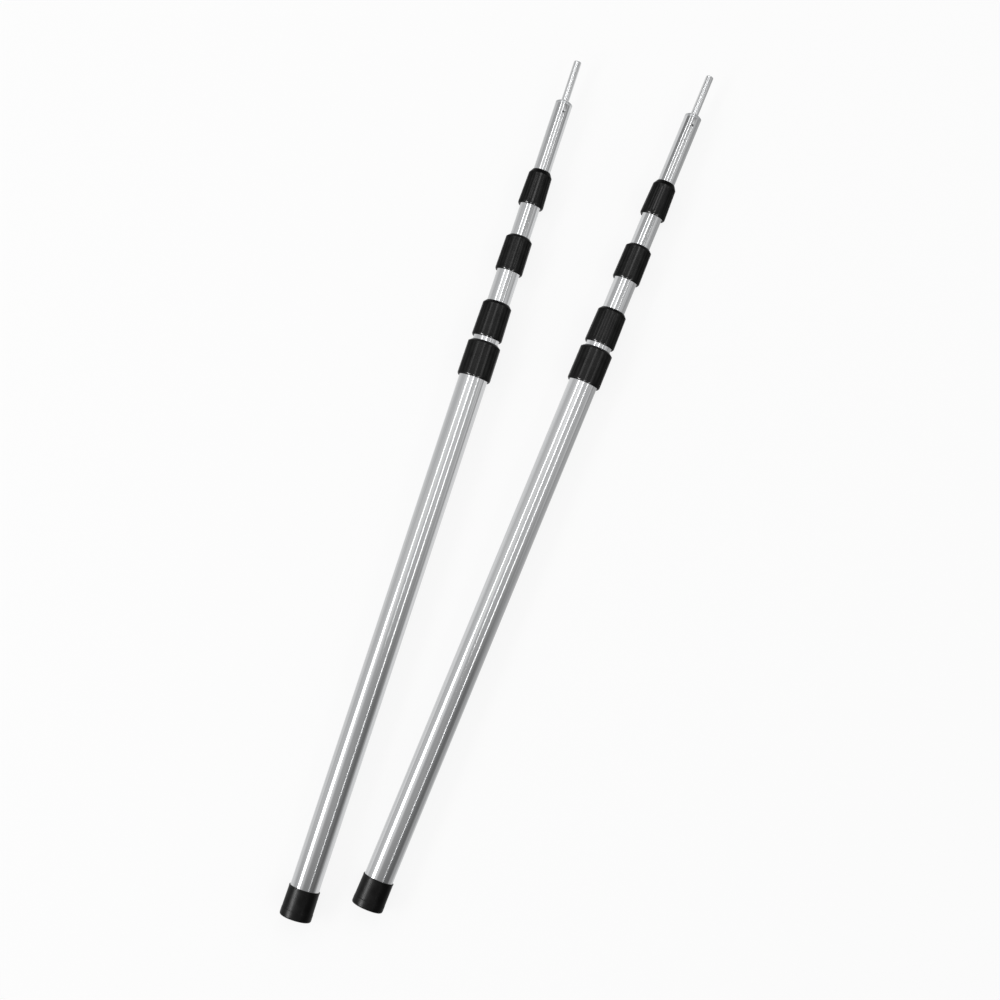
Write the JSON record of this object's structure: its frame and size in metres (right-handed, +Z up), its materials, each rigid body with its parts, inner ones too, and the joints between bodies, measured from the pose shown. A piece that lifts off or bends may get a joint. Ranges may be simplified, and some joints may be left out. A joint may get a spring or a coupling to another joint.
{
  "type": "telescopic tarp poles",
  "caption": "Pair of telescopic aluminium tarp poles with twist-lock collars, rubber foot caps and spike tips, lying side by side.",
  "frame": {"origin": "on the ground, under the middle of the box around both poles", "axes": "+Z up, +Y from the feet to the tips midway between the two poles, +X from the left pole to the right"},
  "size_m": [0.1508, 0.9628, 0.0353],
  "materials": {
    "drawn_aluminium": "clear anodised, drawn lengthwise",
    "turned_aluminium": "turned, fine",
    "spike_metal": "bright drawn bar",
    "pin_steel": "spring steel",
    "nut_plastic": "semi-gloss moulded black",
    "cap_rubber": "smooth black rubber",
    "body_nylon": "moulded nylon",
    "ring_acetal": "moulded acetal, natural",
    "guide_nylon": "moulded nylon"
  },
  "bodies": {
    "left_base": {"left_foot_cap": "cap_rubber", "left_tube_1": "drawn_aluminium", "left_lock_body_1": "body_nylon"},
    "left_section_2": {"left_tube_2": "drawn_aluminium", "left_guide_plug_2": "guide_nylon", "left_lock_body_2": "body_nylon"},
    "left_section_3": {"left_tube_3": "drawn_aluminium", "left_guide_plug_3": "guide_nylon", "left_lock_body_3": "body_nylon"},
    "left_section_4": {"left_tube_4": "drawn_aluminium", "left_guide_plug_4": "guide_nylon", "left_lock_body_4": "body_nylon"},
    "left_section_5": {"left_tube_5": "drawn_aluminium", "left_guide_plug_5": "guide_nylon", "left_tip_plug": "turned_aluminium", "left_tip_spike": "spike_metal", "left_tip_pin": "pin_steel"},
    "left_ring_1": {"left_clamp_ring_1": "ring_acetal"},
    "left_nut_1": {"left_lock_nut_1": "nut_plastic"},
    "left_ring_2": {"left_clamp_ring_2": "ring_acetal"},
    "left_nut_2": {"left_lock_nut_2": "nut_plastic"},
    "left_ring_3": {"left_clamp_ring_3": "ring_acetal"},
    "left_nut_3": {"left_lock_nut_3": "nut_plastic"},
    "left_ring_4": {"left_clamp_ring_4": "ring_acetal"},
    "left_nut_4": {"left_lock_nut_4": "nut_plastic"},
    "right_base": {"right_foot_cap": "cap_rubber", "right_tube_1": "drawn_aluminium", "right_lock_body_1": "body_nylon"},
    "right_section_2": {"right_tube_2": "drawn_aluminium", "right_guide_plug_2": "guide_nylon", "right_lock_body_2": "body_nylon"},
    "right_section_3": {"right_tube_3": "drawn_aluminium", "right_guide_plug_3": "guide_nylon", "right_lock_body_3": "body_nylon"},
    "right_section_4": {"right_tube_4": "drawn_aluminium", "right_guide_plug_4": "guide_nylon", "right_lock_body_4": "body_nylon"},
    "right_section_5": {"right_tube_5": "drawn_aluminium", "right_guide_plug_5": "guide_nylon", "right_tip_plug": "turned_aluminium", "right_tip_spike": "spike_metal", "right_tip_pin": "pin_steel"},
    "right_ring_1": {"right_clamp_ring_1": "ring_acetal"},
    "right_nut_1": {"right_lock_nut_1": "nut_plastic"},
    "right_ring_2": {"right_clamp_ring_2": "ring_acetal"},
    "right_nut_2": {"right_lock_nut_2": "nut_plastic"},
    "right_ring_3": {"right_clamp_ring_3": "ring_acetal"},
    "right_nut_3": {"right_lock_nut_3": "nut_plastic"},
    "right_ring_4": {"right_clamp_ring_4": "ring_acetal"},
    "right_nut_4": {"right_lock_nut_4": "nut_plastic"}
  },
  "joints": [
    {"name": "left_tube_2_slide", "type": "slide", "parent": "left_base", "child": "left_section_2", "axis": [-0.0387, 0.9992, 0.002], "range_m": [-0.0022, 0.4496]},
    {"name": "left_tube_3_slide", "type": "slide", "parent": "left_section_2", "child": "left_section_3", "axis": [-0.0387, 0.9992, 0.002], "range_m": [-0.0318, 0.42]},
    {"name": "left_tube_4_slide", "type": "slide", "parent": "left_section_3", "child": "left_section_4", "axis": [-0.0387, 0.9992, 0.002], "range_m": [-0.0322, 0.4196]},
    {"name": "left_tube_5_slide", "type": "slide", "parent": "left_section_4", "child": "left_section_5", "axis": [-0.0387, 0.9992, 0.002], "range_m": [-0.061, 0.3952]},
    {"name": "left_ring_1_rise", "type": "slide", "parent": "left_base", "child": "left_ring_1", "axis": [-0.0387, 0.9992, 0.002], "range_m": [0, 0.00125]},
    {"name": "left_nut_1_turn", "type": "hinge", "parent": "left_ring_1", "child": "left_nut_1", "pos_m": [-0.05491, 0.11282, 0.01768], "axis": [-0.0387, 0.9992, 0.002], "range_deg": [0, 150]},
    {"name": "left_ring_2_rise", "type": "slide", "parent": "left_section_2", "child": "left_ring_2", "axis": [-0.0387, 0.9992, 0.002], "range_m": [0, 0.00125]},
    {"name": "left_nut_2_turn", "type": "hinge", "parent": "left_ring_2", "child": "left_nut_2", "pos_m": [-0.0566, 0.15638, 0.01777], "axis": [-0.0387, 0.9992, 0.002], "range_deg": [0, 150]},
    {"name": "left_ring_3_rise", "type": "slide", "parent": "left_section_3", "child": "left_ring_3", "axis": [-0.0387, 0.9992, 0.002], "range_m": [0, 0.00125]},
    {"name": "left_nut_3_turn", "type": "hinge", "parent": "left_ring_3", "child": "left_nut_3", "pos_m": [-0.05944, 0.22953, 0.01792], "axis": [-0.0387, 0.9992, 0.002], "range_deg": [0, 150]},
    {"name": "left_ring_4_rise", "type": "slide", "parent": "left_section_4", "child": "left_ring_4", "axis": [-0.0387, 0.9992, 0.002], "range_m": [0, 0.00125]},
    {"name": "left_nut_4_turn", "type": "hinge", "parent": "left_ring_4", "child": "left_nut_4", "pos_m": [-0.06229, 0.30307, 0.01807], "axis": [-0.0387, 0.9992, 0.002], "range_deg": [0, 150]},
    {"name": "right_tube_2_slide", "type": "slide", "parent": "right_base", "child": "right_section_2", "axis": [0.0387, 0.9992, 0.002], "range_m": [-0.0022, 0.4496]},
    {"name": "right_tube_3_slide", "type": "slide", "parent": "right_section_2", "child": "right_section_3", "axis": [0.0387, 0.9992, 0.002], "range_m": [-0.0318, 0.42]},
    {"name": "right_tube_4_slide", "type": "slide", "parent": "right_section_3", "child": "right_section_4", "axis": [0.0387, 0.9992, 0.002], "range_m": [-0.0322, 0.4196]},
    {"name": "right_tube_5_slide", "type": "slide", "parent": "right_section_4", "child": "right_section_5", "axis": [0.0387, 0.9992, 0.002], "range_m": [-0.061, 0.3952]},
    {"name": "right_ring_1_rise", "type": "slide", "parent": "right_base", "child": "right_ring_1", "axis": [0.0387, 0.9992, 0.002], "range_m": [0, 0.00125]},
    {"name": "right_nut_1_turn", "type": "hinge", "parent": "right_ring_1", "child": "right_nut_1", "pos_m": [0.05491, 0.14722, 0.01768], "axis": [0.0387, 0.9992, 0.002], "range_deg": [0, 150]},
    {"name": "right_ring_2_rise", "type": "slide", "parent": "right_section_2", "child": "right_ring_2", "axis": [0.0387, 0.9992, 0.002], "range_m": [0, 0.00125]},
    {"name": "right_nut_2_turn", "type": "hinge", "parent": "right_ring_2", "child": "right_nut_2", "pos_m": [0.0566, 0.19078, 0.01777], "axis": [0.0387, 0.9992, 0.002], "range_deg": [0, 150]},
    {"name": "right_ring_3_rise", "type": "slide", "parent": "right_section_3", "child": "right_ring_3", "axis": [0.0387, 0.9992, 0.002], "range_m": [0, 0.00125]},
    {"name": "right_nut_3_turn", "type": "hinge", "parent": "right_ring_3", "child": "right_nut_3", "pos_m": [0.05944, 0.26393, 0.01792], "axis": [0.0387, 0.9992, 0.002], "range_deg": [0, 150]},
    {"name": "right_ring_4_rise", "type": "slide", "parent": "right_section_4", "child": "right_ring_4", "axis": [0.0387, 0.9992, 0.002], "range_m": [0, 0.00125]},
    {"name": "right_nut_4_turn", "type": "hinge", "parent": "right_ring_4", "child": "right_nut_4", "pos_m": [0.06229, 0.33747, 0.01807], "axis": [0.0387, 0.9992, 0.002], "range_deg": [0, 150]},
    {"name": "poles_apart", "type": "slide", "parent": "left_base", "child": "right_base", "axis": [1, 0, 0], "range_m": [-0.015, 0.2]}
  ],
  "couplings": [
    {"joint": "left_ring_1_rise", "follows": "left_nut_1_turn", "m_per_rad": 0.00047746},
    {"joint": "left_ring_2_rise", "follows": "left_nut_2_turn", "m_per_rad": 0.00047746},
    {"joint": "left_ring_3_rise", "follows": "left_nut_3_turn", "m_per_rad": 0.00047746},
    {"joint": "left_ring_4_rise", "follows": "left_nut_4_turn", "m_per_rad": 0.00047746},
    {"joint": "right_ring_1_rise", "follows": "right_nut_1_turn", "m_per_rad": 0.00047746},
    {"joint": "right_ring_2_rise", "follows": "right_nut_2_turn", "m_per_rad": 0.00047746},
    {"joint": "right_ring_3_rise", "follows": "right_nut_3_turn", "m_per_rad": 0.00047746},
    {"joint": "right_ring_4_rise", "follows": "right_nut_4_turn", "m_per_rad": 0.00047746}
  ]
}
